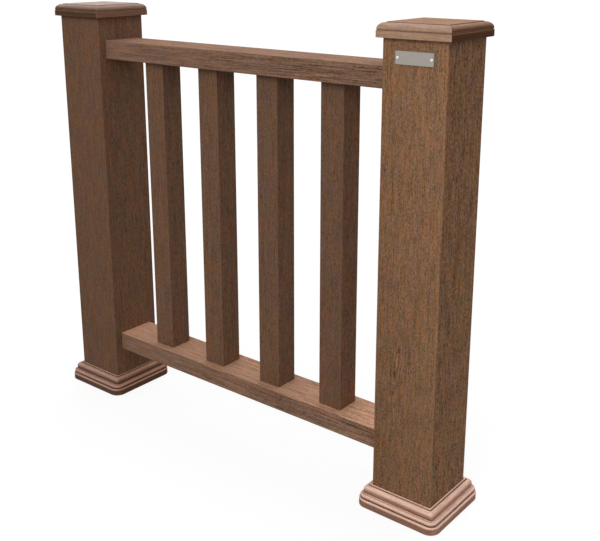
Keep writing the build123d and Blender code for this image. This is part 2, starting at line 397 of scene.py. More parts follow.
def hollow_bar(half_a, half_b, length, section, seed, figure, tones, boards):
    """Points, faces, grain map and marks of a bar along its third axis from 0 to length. section is its
    corner radius and the thickness of its wall.

    Each ring point moves inwards along its lean by EMBOSS_DEPTH times the embossing there, and by less
    near the bar's edges. The marks are emboss, the depth from 0 to 1, crest, which is 1 on the bar's edges
    and dies out over CREST_REACH, figure, the growth rings, tone, how pale the bar is there, and bold, how
    strong its grain is. The tone is partly the bar's own colour and partly painted light and shade: paler
    tops, sides paler or darker by how the light falls on them, and paler towards some bars' ends. Each
    side's row of tones holds a level, how much it grows across the side, along the bar and towards both of
    the bar's ends, and the boldness. Each side's row of boards says how many times wider and longer the
    grain on that side's roller is, and by what share it gets bolder along the bar.
    """
    corner_r, wall = section
    flats = tuple(round(2 * (half - corner_r) / STEP_ROUND) for half in (half_b, half_a))
    pattern = ring_pattern(flats, CORNER_STEPS)
    ax, ay, nx, ny, side = pattern
    side = side.astype(int)
    rows = round(length / STEP_ALONG) + 1
    z = np.linspace(0, length, rows)
    x, y = rings(pattern, [half_a] * rows, [half_b] * rows, [corner_r] * rows)
    gap = np.hypot(np.diff(x[0], append=x[0, 0]), np.diff(y[0], append=y[0, 0]))
    around = gap.sum()
    across = np.cumsum(gap) - gap
    grid_across, grid_along = np.broadcast_arrays(across[None, :], z[:, None])

    coarse = streaks(grid_across, grid_along, *COARSE_STREAK, seed, around)
    fine = streaks(grid_across, grid_along, *FINE_STREAK, seed + 1, around)
    arches = figure(x, y, grid_along, side)
    pressed = (coarse + fine) / 2 + ARCH_SHARE * (arches - 0.5)
    emboss = smooth((pressed - EMBOSS_FROM) / EMBOSS_RANGE)
    corner_gap = (1 - np.abs(ax)) * (half_a - corner_r) + (1 - np.abs(ay)) * (half_b - corner_r)
    crest = np.broadcast_to(np.exp(-((corner_gap / CREST_REACH) ** 2)), x.shape)
    depth = EMBOSS_DEPTH * emboss * (1 - CREST_FLATTENING * crest)
    level, sideways, lengthways, endways, bold = np.array(tones, float)[side].T
    wider, longer, bolder = np.array(boards, float)[side].T
    side_share = np.choose(side, [-ay, ax, ay, -ax])
    along_share = 2 * z[:, None] / length - 1
    # painted light and shade: each side's tone, and its growth along the bar and towards the ends
    tone = level + sideways * side_share + lengthways * along_share + endways * along_share**4
    bold = bold * (1 + bolder * along_share)

    inside_x, inside_y = rings(pattern, [half_a - wall] * 2, [half_b - wall] * 2, [INSIDE_CORNER_R] * 2)
    x = np.vstack([x - depth * nx, inside_x])
    y = np.vstack([y - depth * ny, inside_y])
    z = np.concatenate([z, [length, 0.0]])
    points = grid_points(x, y, z[:, None])
    faces, row, column = grid_faces(len(z), len(across), True)
    above = (row + 1) % len(z)
    map_across = np.append(across, around)[np.stack([column, column + 1, column + 1, column], 1)]
    map_along = z[np.stack([row, row, above, above], 1)]
    grain = np.stack([map_across / wider[column][:, None], map_along / longer[column][:, None]], -1)
    outside = {"emboss": emboss, "crest": crest, "figure": arches, "tone": tone, "bold": bold}
    inside = {"emboss": 0, "crest": 0, "figure": 0, "tone": 1, "bold": 1}
    rest = np.ones(2 * len(across))
    marks = {mark: np.append(outside[mark], inside[mark] * rest) for mark in outside}
    return points, faces, grain, marks


def bar_piece(name, slot, section, seed, figure, tones, boards, upright=True):
    """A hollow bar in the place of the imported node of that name, upright or lying along X.

    An upright bar's sides are left, front, right and back. A lying one's are back, top, front and bottom.
    """
    low, high = (np.array(corner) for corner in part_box(name))
    middle = (low + high) / 2
    half_a, half_b, length = (high - low if upright else (high - low)[[1, 2, 0]]) / [2, 2, 1]
    points, faces, grain, marks = hollow_bar(half_a, half_b, length, section, seed, figure, tones, boards)
    if upright:
        points = points + [middle[0], middle[1], low[2]]
    else:
        points = points[:, [2, 0, 1]] * [1, -1, -1] + [low[0], middle[1], middle[2]]
    return add_piece(f"{name}_bar", name, points, [faces], [grain], marks, seed)


def no_figure(x, y, along, side):
    """Plain grain, with no arches: halfway between a ring and a gap everywhere."""
    return np.full(x.shape, 0.5)


# %% [markdown]
# The posts
#
# Each post is 120 mm square with 10 mm walls. The right post's front shows arches low down on its left
# half, so its figure has the heart of the log there. The other faces get hearts of their own further up or
# beyond the bar's end, where only long slanting rings are left of the arches.

# %% Posts
POST_SECTION = (2.0 * MM, 10 * MM)
LEFT_POST_SEED = 11
RIGHT_POST_SEED = 23
RING_GAP = 5.5 * MM
HEART_LEAN = 0.16
HEART_SLANT = 0.13
KNOT_REACH = 10 * MM
LEFT_RINGS = 0.3
RIGHT_RINGS = 0.8


def post_figure(hearts, strength):
    """The growth rings that a saw lays open beside the heart of a log, on each side of a post from the
    left.

    hearts gives (place from the side's middle, height, knot). A point's distance from the heart is the
    root of across^2 + (HEART_LEAN along)^2, with across measured from a line through the heart that leans
    by HEART_SLANT, and a ring lies at each whole RING_GAP of it. The rings are strong within KNOT_REACH of
    a heart with a knot.
    """
    hearts = np.array(hearts)

    def figure(x, y, along, side):
        place, height, knot = hearts[side].T
        above = along - height
        sideways = np.where(side % 2 == 0, y, x) - place - HEART_SLANT * above
        distance = np.hypot(sideways, HEART_LEAN * above)
        boldness = strength + knot * np.exp(-((distance / KNOT_REACH) ** 2))
        return 0.5 + 0.5 * boldness * np.sin(2 * np.pi * distance / RING_GAP)

    return figure


LEFT_HEARTS = [(0.012, 0.95, 0.0), (-0.020, 0.60, 0.0), (0.018, -0.15, 0.0), (0.030, 0.40, 0.0)]
RIGHT_HEARTS = [(-0.022, 0.50, 2.0), (-0.016, 0.285, 8.0), (0.008, 0.66, 0.0), (0.015, -0.10, 0.0)]
# The tones paint light and shade: the left post's right side is painted paler to lift its shade, and the
# right post's front paler towards its top and its right edge.
LEFT_TONES = [
    (1.0, 0, 0.02, 0, 1.1),
    (0.93, 0.02, 0.05, 0, 1.0),
    (1.26, 0, 0, 0, 1.1),
    (1.05, 0, 0.03, 0, 1.0),
]
RIGHT_TONES = [
    (1.0, 0, 0.05, 0, 1.3),
    (0.97, 0.09, 0.16, 0, 1.0),
    (0.98, 0.04, -0.03, 0, 1.3),
    (1.0, 0, 0.08, 0, 1.0),
]
LEFT_BOARDS = [(1.8, 1.1, 0), (1.35, 0.7, 0)] * 2
RIGHT_BOARDS = [(1.25, 0.9, 0), (0.85, 0.75, 0)] * 2
left_look = (LEFT_POST_SEED, post_figure(LEFT_HEARTS, LEFT_RINGS), LEFT_TONES, LEFT_BOARDS)
right_look = (RIGHT_POST_SEED, post_figure(RIGHT_HEARTS, RIGHT_RINGS), RIGHT_TONES, RIGHT_BOARDS)
left_post = bar_piece("left_post", "wpc_post", POST_SECTION, *left_look)
right_post = bar_piece("right_post", "wpc_post", POST_SECTION, *right_look)

# %% [markdown]
# The rails and the balusters
#
# The rails lie along X between the posts, and the balusters stand between the rails. They are thinner bars
# with 8 mm walls. Each has its own random start, so no two show the same streaks.

# %% Rails and balusters
THIN_SECTION = (1.5 * MM, 8 * MM)
TOP_RAIL_SEED = 31
BOTTOM_RAIL_SEED = 37
BALUSTER_SEED = 41
BALUSTER_NAMES = sorted(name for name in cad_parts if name.startswith("baluster_"))

# Painted light: the rails' tops are painted paler, as light from above falls on them, and the bottom rail's
# top paler still towards its right and towards both ends, where the posts shade it.
TOP_RAIL_TONES = [
    (1.0, 0, 0, 0, 1.0),
    (1.36, 0, 0.03, 0, 0.85),
    (0.97, 0, 0, 0, 1.0),
    (0.95, 0, 0, 0, 1.0),
]
BOTTOM_RAIL_TONES = [
    (1.0, 0, 0, 0, 1.0),
    (1.9, 0, 0.33, 1.1, 0.75),
    (0.98, 0, 0, 0, 1.1),
    (0.95, 0, 0, 0, 1.0),
]
# Painted light: the balusters' right sides are painted paler, the last one most, where the right post shades
# it.
BALUSTER_RIGHT_TONES = (1.18, 1.17, 1.19, 1.46)
RAIL_BOARDS = [(0.72, 1.3, 0.4)] * 4
BALUSTER_BOARDS = [(1.5, 1.3, 0), (1.4, 1.0, 0)] * 2


def baluster_tones(right_tone):
    """The tones of a baluster, whose right side has painted light: it is paler by its own amount."""
    return [(1.0, 0, 0, 0, 1.1), (0.975, 0, 0.04, 0, 1.0), (right_tone, 0, 0, 0, 1.1), (1.0, 0, 0, 0, 1.0)]


top_look = (TOP_RAIL_SEED, no_figure, TOP_RAIL_TONES, RAIL_BOARDS)
bottom_look = (BOTTOM_RAIL_SEED, no_figure, BOTTOM_RAIL_TONES, RAIL_BOARDS)
top_rail = bar_piece("top_rail", "wpc_rail", THIN_SECTION, *top_look, upright=False)
bottom_rail = bar_piece("bottom_rail", "wpc_rail", THIN_SECTION, *bottom_look, upright=False)
balusters = []
for number, name in enumerate(BALUSTER_NAMES):
    tones = baluster_tones(BALUSTER_RIGHT_TONES[number])
    look = (BALUSTER_SEED + 2 * number, no_figure, tones, BALUSTER_BOARDS)
    balusters.append(bar_piece(name, "wpc_baluster", THIN_SECTION, *look))

# %% [markdown]
# Mouldings
#
# A cap and a skirt are mouldings that run round the post. A moulding's cross section is a chain of flats
# and small rounds. It is written down as its corners, each with the radius that rounds it, and worked out
# with numbers that turn in the plane: multiplying by exp(i angle) turns a direction by that angle.

# %% Profiles
ARC_STEP = math.radians(11)


def rounded(behind, here, ahead, radius):
    """The round at a corner, and the angle by which the line turns there. A round starts radius tan(turn /
    2) before the corner, and its centre is one radius to the side that the line turns to."""
    way_in = (here - behind) / abs(here - behind)
    way_out = (ahead - here) / abs(ahead - here)
    turn = float(np.angle(way_out / way_in))
    cut = radius * math.tan(abs(turn) / 2)
    to_centre = 1j * math.copysign(radius, turn) * way_in
    steps = max(2, math.ceil(abs(turn) / ARC_STEP))
    swing = np.exp(1j * turn * np.arange(steps + 1) / steps)
    return here - cut * way_in + to_centre - to_centre * swing, turn


def profile(corners, closed):
    """The rounded line through corners of (half width, height, radius, longest step after it), in
    millimetres.

    Returns the line as complex numbers, half width + i height, in metres, and bend: how round the line is
    at each point, as 1 / radius in millimetres, above 0 where it bulges outwards and below 0 where it is
    hollow.
    """
    spots = [complex(half, z) for half, z, _, _ in corners]
    count = len(corners)
    arcs = []
    for number, spot in enumerate(spots):
        if closed or 0 < number < count - 1:
            arcs.append(rounded(spots[number - 1], spot, spots[(number + 1) % count], corners[number][2]))
        else:
            arcs.append((np.array([spot]), 0.0))
    line = []
    bend = []
    for number, (arc, turn) in enumerate(arcs):
        line.append(arc)
        bend.append(np.full(len(arc), math.copysign(1 / corners[number][2], turn) if turn else 0.0))
        if closed or number < count - 1:
            start = arc[-1]
            reach = arcs[(number + 1) % count][0][0] - start
            steps = max(1, math.ceil(abs(reach) / corners[number][3]))
            line.append(start + reach * np.arange(1, steps) / steps)
            bend.append(np.zeros(steps - 1))
    return np.concatenate(line) * MM, np.concatenate(bend)


def spread(values, distance, reach):
    """Each point takes the largest of all values after they fade with exp(-(distance / reach)^2)."""
    fade = np.exp(-(((distance[:, None] - distance[None, :]) / reach) ** 2))
    return np.max(values[None, :] * fade, axis=1)


# %% [markdown]
# A moulding becomes a surface when its line is carried round the post: every point of the line gives one
# ring. A skirt's line closes on itself. A cap's line starts and ends on the post's axis, so its first and
# last rings close in a pole. The grain runs along each side and stops at the mitres, where two lengths of
# moulding meet at a corner. Each length has a tone of its own, partly as lengths cut from different boards
# have, and partly painted light and shade, so that some lengths are darker or paler by how light falls.

# %% Mouldings round a post
MOULDING_CORNER_STEPS = 8
MOULDING_EMBOSS_DEPTH = 0.08 * MM
MOULDING_EMBOSS_RANGE = 0.3
MOULDING_STREAK = (2.2 * MM, 24 * MM)
CREST_BEND = 1.6
CREST_SPREAD = 0.8 * MM
# the lowest part of a moulding, whose edges get no painted highlight
BOTTOM_WITHOUT_HIGHLIGHT = 5 * MM
HOLLOW_BEND = 0.3
HOLLOW_SPREAD = 1.7 * MM
MITRE_REACH = 1.1 * MM
MITRE_SHARE = 0.6
SHEET_PLACE = 10


def moulding_piece(node, seed, tones, ending, slot, corners, closed, corner_of, flat_steps, panel_half=0.0):
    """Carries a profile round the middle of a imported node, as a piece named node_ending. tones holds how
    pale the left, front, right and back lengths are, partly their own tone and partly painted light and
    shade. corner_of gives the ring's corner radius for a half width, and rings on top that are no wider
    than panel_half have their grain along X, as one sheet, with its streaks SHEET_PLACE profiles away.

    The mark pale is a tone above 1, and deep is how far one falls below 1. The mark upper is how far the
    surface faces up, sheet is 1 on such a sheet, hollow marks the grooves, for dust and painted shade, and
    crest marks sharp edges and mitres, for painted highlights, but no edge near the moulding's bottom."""
    line, bend = profile(corners, closed)
    axis_ends = [[0, 0, line[0].imag], [0, 0, line[-1].imag]]
    if not closed:
        line = line[1:-1]
        bend = bend[1:-1]
    half = line.real
    low, high = (np.array(corner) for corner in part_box(node))
    middle = (low + high) / 2
    pattern = ring_pattern((flat_steps, flat_steps), MOULDING_CORNER_STEPS)
    ax, ay, nx, ny, side = pattern
    side = side.astype(int)
    corner_r = corner_of(half)
    x, y = rings(pattern, half, half, corner_r)
    distance = np.concatenate([[0], np.cumsum(np.abs(np.diff(line)))])
    total = distance[-1] + (abs(line[0] - line[-1]) if closed else 0)
    is_panel = (half <= panel_half) & (line.imag > middle[2])
    sheet = np.broadcast_to(is_panel[:, None], x.shape)
    along = np.where(sheet, x, np.where(side % 2 == 0, y, x))
    across = np.where(sheet, y + SHEET_PLACE * total, distance[:, None] + side * total)

    # painted highlight on sharp edges, left off near the moulding's bottom
    highlighted = smooth((line.imag - low[2]) / BOTTOM_WITHOUT_HIGHLIGHT)
    crest = highlighted * spread(np.clip(bend * CREST_BEND, 0, 1), distance, CREST_SPREAD)
    # grooves: darkened by dust and painted shade
    hollow = spread(np.clip(-bend * HOLLOW_BEND, 0, 1), distance, HOLLOW_SPREAD)
    corner_gap = (2 - np.abs(ax) - np.abs(ay)) * (half - corner_r)[:, None] + corner_r[:, None] / 2
    # painted highlight along the mitres
    mitre = np.where(sheet, 0, MITRE_SHARE * np.exp(-((corner_gap / MITRE_REACH) ** 2)))
    groove = streaks(across, along, *MOULDING_STREAK, seed)
    emboss = smooth((groove - EMBOSS_FROM) / MOULDING_EMBOSS_RANGE) * (1 - crest[:, None])
    way = np.roll(line, -1) - np.roll(line, 1) if closed else np.gradient(line)
    outward = -1j * way / np.abs(way)
    depth = MOULDING_EMBOSS_DEPTH * emboss
    x = x - depth * outward.real[:, None] * nx
    y = y - depth * outward.real[:, None] * ny
    points = grid_points(x, y, line.imag[:, None] - depth * outward.imag[:, None])

    faces, row, column = grid_faces(len(line), x.shape[1], closed)
    face_side = side[column][:, None]
    local = points[faces]
    face_run = np.where(face_side % 2 == 0, local[..., 1], local[..., 0])
    lengths = np.append(distance, total)[np.stack([row, row, row + 1, row + 1], 1)]
    flat_face = is_panel[row][:, None] & is_panel[(row + 1) % len(line)][:, None]
    map_across = np.where(flat_face, local[..., 1], lengths + face_side * total)
    map_along = np.where(flat_face, local[..., 0], face_run)
    all_faces = [faces]
    grain = [np.stack([map_across, map_along], -1)]
    # the lengths' tones: partly their own colour, partly painted light and shade
    tone = np.array(tones)[side]
    marks = {
        "emboss": emboss,
        "crest": np.maximum(crest[:, None], mitre),
        "hollow": hollow[:, None],
        "upper": np.clip(outward.imag, 0, 1)[:, None],
        "pale": np.maximum(tone, 1),
        "deep": np.maximum(1 - tone, 0),
        "sheet": sheet * 1.0,
    }
    marks = {mark: np.broadcast_to(values, x.shape).ravel() for mark, values in marks.items()}
    if not closed:
        points = np.vstack([points, axis_ends])
        fans = pole_faces(len(line), x.shape[1])
        all_faces.append(fans)
        grain.append(points[fans][..., [1, 0]])
        marks = {mark: np.append(values, [values[0], values[-1]]) for mark, values in marks.items()}
    points = points + [middle[0], middle[1], 0]
    return add_piece(f"{node}_{ending}", node, points, all_faces, grain, marks, seed)


# %% [markdown]
# The caps
#
# A cap is a square lid. From its underside up it has a flat fascia, a fine groove, a quarter-round, and
# then a sunk joint around a raised flat panel. Its underside has a socket that drops over the post's end.
# Each corner of its line is (half width, height, radius, longest step after it), from the socket's middle
# round to the middle of the top. Its sizes are in millimetres, and its heights are measured from the
# ground.

# %% Caps
CAP_BOTTOM = 839.0
CAP_SOCKET_TOP = 847.0
CAP_TOP = 864.0
CAP_SOCKET_HALF = 60.5
CAP_FASCIA_HALF = 69.0
CAP_GROOVE_HALF = 67.8
CAP_ROLL_HALF = 68.5
CAP_FASCIA_TOP = 850.5
CAP_GROOVE_TOP = 851.7
CAP_ROLL_R = 11.0
CAP_ROLL_FLAT = 0.5
CAP_ROLL_TOP = CAP_GROOVE_TOP + CAP_ROLL_R
CAP_GAP_HALF = CAP_ROLL_HALF - CAP_ROLL_R
CAP_GAP_FLOOR = CAP_ROLL_TOP - 1.0
CAP_PANEL_HALF = 56.3
CAP_CORNER_R = 2.0 * MM
PANEL_CORNER_R = 1.0 * MM
LEFT_CAP_SEED = 53
RIGHT_CAP_SEED = 59

CAP_LINE = [
    (0, CAP_SOCKET_TOP, 0, 20),
    (CAP_SOCKET_HALF, CAP_SOCKET_TOP, 0.3, 8),
    (CAP_SOCKET_HALF, CAP_BOTTOM, 0.4, 3),
    (CAP_FASCIA_HALF, CAP_BOTTOM, 0.8, 1.4),
    (CAP_FASCIA_HALF, CAP_FASCIA_TOP, 0.7, 1),
    (CAP_GROOVE_HALF, CAP_FASCIA_TOP, 0.3, 1),
    (CAP_GROOVE_HALF, CAP_GROOVE_TOP, 0.3, 1),
    (CAP_ROLL_HALF, CAP_GROOVE_TOP, 0.3, 1),
    (CAP_ROLL_HALF, CAP_ROLL_TOP, CAP_ROLL_R - CAP_ROLL_FLAT, 1),
    (CAP_GAP_HALF, CAP_ROLL_TOP, 0.3, 1),
    (CAP_GAP_HALF, CAP_GAP_FLOOR, 0.25, 1),
    (CAP_PANEL_HALF, CAP_GAP_FLOOR, 0.25, 1),
    (CAP_PANEL_HALF, CAP_TOP, 0.7, 1.4),
    (0, CAP_TOP, 0, 1),
]


def cap_corner(half):
    """The cap's corners are small rounds outside and smaller ones on the panel, and shrink towards the
    axis."""
    return np.minimum(np.where(half > CAP_GAP_HALF * MM, CAP_CORNER_R, PANEL_CORNER_R), half / 2)


# Partly the lengths' own tones and partly painted light and shade: the right cap's front is painted paler
# and its right length darkest, turned from the light.
LEFT_CAP_TONES = (0.9, 0.15, 1.15, 0.8)
RIGHT_CAP_TONES = (0.8, 1.25, 0.0, 0.8)
cap_shape = {
    "ending": "lid",
    "slot": "wpc_cap",
    "corners": CAP_LINE,
    "closed": False,
    "corner_of": cap_corner,
    "flat_steps": 60,
    "panel_half": CAP_PANEL_HALF * MM,
}
left_cap = moulding_piece("left_cap", LEFT_CAP_SEED, LEFT_CAP_TONES, **cap_shape)
right_cap = moulding_piece("right_cap", RIGHT_CAP_SEED, RIGHT_CAP_TONES, **cap_shape)

# %% [markdown]
# The skirts
#
# A skirt hides the joint between the post and the ground. From the ground up it has a flat fascia, a
# groove, a bead, a step, a wide roll, a sunk joint and a thin lip against the post. Its corners are sharp
# at the post and get rounder the further out the moulding stands.

# %% Skirts
SKIRT_OPENING_HALF = 60.5
SKIRT_FASCIA_HALF = 82.5
SKIRT_GROOVE_HALF = 77.8
SKIRT_BEAD_HALF = 79.5
SKIRT_LEDGE_HALF = 74.0
SKIRT_WAIST_HALF = 71.7
SKIRT_ROLL_HALF = 72.5
SKIRT_GAP_HALF = 64.8
SKIRT_LIP_HALF = 63.2
SKIRT_TOP = 38.5
SKIRT_ROUND = 20.0
SKIRT_ROUND_POWER = 2.2
SKIRT_INNER_ROUND = 0.25
LEFT_SKIRT_SEED = 61
RIGHT_SKIRT_SEED = 67

SKIRT_LINE = [
    (SKIRT_OPENING_HALF, 0, 0.3, 6),
    (SKIRT_FASCIA_HALF, 0, 0.5, 1.5),
    (SKIRT_FASCIA_HALF, 14.4, 2.6, 1),
    (SKIRT_GROOVE_HALF, 14.4, 0.3, 0.6),
    (SKIRT_GROOVE_HALF, 16.5, 0.3, 0.6),
    (SKIRT_BEAD_HALF, 17.1, 1.4, 0.8),
    (SKIRT_BEAD_HALF, 22.0, 3.8, 0.8),
    (SKIRT_LEDGE_HALF, 22.0, 0.9, 0.8),
    (SKIRT_WAIST_HALF, 22.4, 1.0, 0.8),
    (SKIRT_ROLL_HALF, 27.1, 6.0, 0.8),
    (SKIRT_ROLL_HALF, 36.7, 7.6, 0.8),
    (SKIRT_GAP_HALF, 36.7, 0.3, 0.8),
    (SKIRT_GAP_HALF, 34.6, 0.3, 0.8),
    (SKIRT_LIP_HALF, 34.6, 0.3, 0.8),
    (SKIRT_LIP_HALF, SKIRT_TOP, 0.5, 0.8),
    (SKIRT_OPENING_HALF, SKIRT_TOP, 0.4, 9),
]


def skirt_corner(half):
    """SKIRT_ROUND at the fascia, falling to SKIRT_INNER_ROUND at the post as the SKIRT_ROUND_POWER of the
    share out."""
    post_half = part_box("left_post")[1][0]
    share = np.clip((half - post_half) / (SKIRT_FASCIA_HALF * MM - post_half), 0, 1)
    return np.maximum(SKIRT_ROUND * MM * share**SKIRT_ROUND_POWER, SKIRT_INNER_ROUND * MM)


# Partly the lengths' own tones and partly painted light: the right skirt's right length is painted paler,
# and the left skirt's right length takes its paler deep colour.
LEFT_SKIRT_TONES = (1.0, 1.0, 0.0, 1.0)
RIGHT_SKIRT_TONES = (0.95, 1.0, 1.5, 1.0)
skirt_shape = {
    "ending": "moulding",
    "slot": "wpc_skirt",
    "corners": SKIRT_LINE,
    "closed": True,
    "corner_of": skirt_corner,
    "flat_steps": 64,
}
left_skirt = moulding_piece("left_skirt", LEFT_SKIRT_SEED, LEFT_SKIRT_TONES, **skirt_shape)
right_skirt = moulding_piece("right_skirt", RIGHT_SKIRT_SEED, RIGHT_SKIRT_TONES, **skirt_shape)

# %% [markdown]
# The nameplate and its rivets
#
# The plate is a thin rounded rectangle of aluminium with broken edges, and it is bare. Rings that shrink
# towards its middle make it, with a pole on each face. A rivet is a line turned round an axis: a small
# dome on a short shank.

# %% Nameplate and rivets
PLATE_CORNER_R = 1.5 * MM
PLATE_CORNER_SHARE = 0.4
PLATE_EDGE = 0.35 * MM
PLATE_ARRIS = 0.3
PLATE_STEPS = (16, 40)
PLATE_CORNER_STEPS = 8
RIVET_COLUMNS = 28
RIVET_COLLAR = 0.25 * MM
SHANK_SHARE = 0.6
DOME_STEPS = 8


def on_front(points, node):
    """Turns a shape that stands along Z to face -Y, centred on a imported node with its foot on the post."""
    low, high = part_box(node)
    return points[:, [0, 2, 1]] * [1, -1, 1] + [(low[0] + high[0]) / 2, high[1], (low[2] + high[2]) / 2]


def front_piece(name, node, x, y, z, tall, crest_of):
    """A stack of rings on the post's front that ends in a pole on the axis at its foot and at height tall.
    Its crest mark is what crest_of gives for its points."""
    rows, columns = x.shape
    points = np.vstack([grid_points(x, y, z[:, None]), [[0, 0, z[0]], [0, 0, tall]]])
    faces = [grid_faces(rows, columns, False)[0], pole_faces(rows, columns)]
    grain = [points[part][..., [1, 0]] for part in faces]
    return add_piece(name, node, on_front(points, node), faces, grain, {"crest": crest_of(points)})


def nameplate_piece():
    """The plate: its back, its edge with both arrises broken, and its face."""
    low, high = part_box("nameplate")
    half_x, half_y, thick = (high[0] - low[0]) / 2, (high[2] - low[2]) / 2, high[1] - low[1]
    edge = PLATE_EDGE
    arris = PLATE_ARRIS * edge
    inset = np.array([edge, edge, 0, 0, arris, edge, edge, edge, edge])
    z = np.array([0, 0, edge, thick - edge, thick - arris, thick, thick, thick, thick])
    share = np.array([0.5, 1, 1, 1, 1, 1, 0.94, 0.6, 0.3])
    hx = (half_x - inset) * share
    hy = (half_y - inset) * share
    pattern = ring_pattern(PLATE_STEPS, PLATE_CORNER_STEPS)
    x, y = rings(pattern, hx, hy, np.minimum(PLATE_CORNER_R, PLATE_CORNER_SHARE * hy))

    # painted shade: the plate's edges are marked to be painted darker
    def near_edge(points):
        beside = np.abs(points[:, 0]) > half_x - 2 * edge
        return (beside | (np.abs(points[:, 1]) > half_y - 2 * edge)) * 1.0

    return front_piece("nameplate_sheet", "nameplate", x, y, z, thick, near_edge)


def rivet_piece(node):
    """The rivet: a shank, a thin collar and a dome whose height follows a circle."""
    low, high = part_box(node)
    head_r, tall = (high[0] - low[0]) / 2, high[1] - low[1]
    plate_low, plate_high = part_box("nameplate")
    head_z = plate_high[1] - plate_low[1]
    dome = tall - head_z - RIVET_COLLAR
    angle = np.linspace(0, math.pi / 2, DOME_STEPS + 1)[:-1]
    radius = np.concatenate([[SHANK_SHARE * head_r, SHANK_SHARE * head_r, head_r], head_r * np.cos(angle)])
    z = np.concatenate([[0, head_z, head_z], head_z + RIVET_COLLAR + dome * np.sin(angle)])
    turn = 2 * math.pi * np.arange(RIVET_COLUMNS) / RIVET_COLUMNS
    x = radius[:, None] * np.cos(turn)
    y = radius[:, None] * np.sin(turn)
    return front_piece(f"{node}_head", node, x, y, z, tall, lambda points: 0.0)


nameplate = nameplate_piece()
rivets = [rivet_piece(node) for node in ("nameplate_rivet_left", "nameplate_rivet_right")]

# %% [markdown]
# Finishes
#
# All the composite pieces share one finish: a brown plastic that holds wood flour, with pressed grain,
# short dark pores, cloudy patches where the colour was mixed unevenly, paler edges, partly from brushing
# and handling and partly a painted highlight, and darker grooves, partly dust and partly painted shade.
# These effects are two node groups, each built once. The grain map gives real distances, so the same
# groups fit every piece.

# %% Group helpers
SHIFT_WAY = (1.0, 2.3, 3.7)
MIDDLE_NOISE = (0.3, 0.7)


def node_group(name, inputs, outputs):
    """A node group. inputs maps names to starting numbers, or to None for a vector, and outputs names the
    numbers that it puts out. Returns the group, the sockets that bring values in and those that take
    them."""
    group = bpy.data.node_groups.new(name, "ShaderNodeTree")
    for key, value in inputs.items():
        kind = "NodeSocketVector" if value is None else "NodeSocketFloat"
        socket = group.interface.new_socket(name=key, in_out="INPUT", socket_type=kind)
        if value is not None:
            socket.default_value = value
    for key in outputs:
        group.interface.new_socket(name=key, in_out="OUTPUT", socket_type="NodeSocketFloat")
    return group, put(group, "NodeGroupInput").outputs, put(group, "NodeGroupOutput").inputs


def noise(tree, grain_map, size, shift, detail, roughness):
    """A smooth random pattern from 0 to 1. Its blobs have a width and length of size, in millimetres, on
    the grain map, and shift moves them aside so that patterns differ."""
    scale = put(tree, "ShaderNodeCombineXYZ", {0: 1 / (size[0] * MM), 1: 1 / (size[1] * MM), 2: 0.0})
    scaled_map = {0: grain_map, 1: scale.outputs[0]}
    stretched = put(tree, "ShaderNodeVectorMath", scaled_map, operation="MULTIPLY")
    moved_map = {0: stretched.outputs[0], 1: tuple(shift * part for part in SHIFT_WAY)}
    moved = put(tree, "ShaderNodeVectorMath", moved_map, operation="ADD")
    values = {"Vector": moved.outputs[0], "Scale": 1.0, "Detail": detail, "Roughness": roughness}
    return put(tree, "ShaderNodeTexNoise", values, noise_dimensions="3D").outputs[0]


def window(tree, value, low, high):
    """Stretches the part of a value from low to high to 0 to 1, with soft ends."""
    values = {"Value": value, 1: low, 2: high}
    return put(tree, "ShaderNodeMapRange", values, interpolation_type="SMOOTHSTEP").outputs[0]


def mix(tree, share, first, second):
    """Blends two colours by a share from 0 to 1."""
    return put(tree, "ShaderNodeMix", {0: share, 6: first, 7: second}, data_type="RGBA").outputs[2]


# %% [markdown]
# The pressed grain has four scales. Fibres are short dashes a millimetre or two wide, long streaks run for
# several centimetres, pores are sparse dark dashes, and clouds are patches of a few centimetres where the
# colour was mixed unevenly. The group puts out a gain, by which the colour is multiplied, two masks for
# the clouds, and a height.

# %% Pressed grain group
FIBRE = {"size": (1.5, 5), "shift": 1.0, "detail": 3.0, "roughness": 0.6}
STREAK = {"size": (2.4, 50), "shift": 2.0, "detail": 2.0, "roughness": 0.6}
PORE = {"size": (1.6, 9), "shift": 3.0, "detail": 1.0, "roughness": 0.5}
WARM_CLOUD = {"size": (15, 50), "shift": 4.0, "detail": 2.0, "roughness": 0.55}
GREEN_CLOUD = {"size": (18, 34), "shift": 6.0, "detail": 2.0, "roughness": 0.55}
PORE_NOISE = (0.62, 0.74)
GREEN_NOISE = (0.35, 0.75)
FIGURE_SHARE = 0.8
LEAST_GAIN = 0.15


def add_share(tree, total, value, middle, amount):
    """total + amount (value - middle), as sockets."""
    offset = math_node(tree, "SUBTRACT", value, middle)
    return put(tree, "ShaderNodeMath", {0: offset, 1: amount, 2: total}, operation="MULTIPLY_ADD").outputs[0]


inputs = {"Grain Map": None, "Emboss": 0.0, "Figure": 0.5, "Bold": 1.0}
inputs.update({"Fibre": 0.4, "Streak": 0.15, "Pore": 0.4, "Groove": 0.1})
outputs = ["Gain", "Warm Cloud", "Green Cloud", "Height"]
grain_group, told, given = node_group("pressed_grain", inputs, outputs)
tree = grain_group
fibre = window(tree, noise(tree, told["Grain Map"], **FIBRE), *MIDDLE_NOISE)
streak = window(tree, noise(tree, told["Grain Map"], **STREAK), *MIDDLE_NOISE)
pore = window(tree, noise(tree, told["Grain Map"], **PORE), *PORE_NOISE)
warm = window(tree, noise(tree, told["Grain Map"], **WARM_CLOUD), *MIDDLE_NOISE)
green = window(tree, noise(tree, told["Grain Map"], **GREEN_CLOUD), *GREEN_NOISE)
figure_share = math_node(tree, "MULTIPLY", told["Groove"], FIGURE_SHARE)
gain = add_share(tree, 1.0, fibre, 0.5, told["Fibre"])
gain = add_share(tree, gain, streak, 0.5, told["Streak"])
gain = add_share(tree, gain, told["Figure"], 0.5, figure_share)
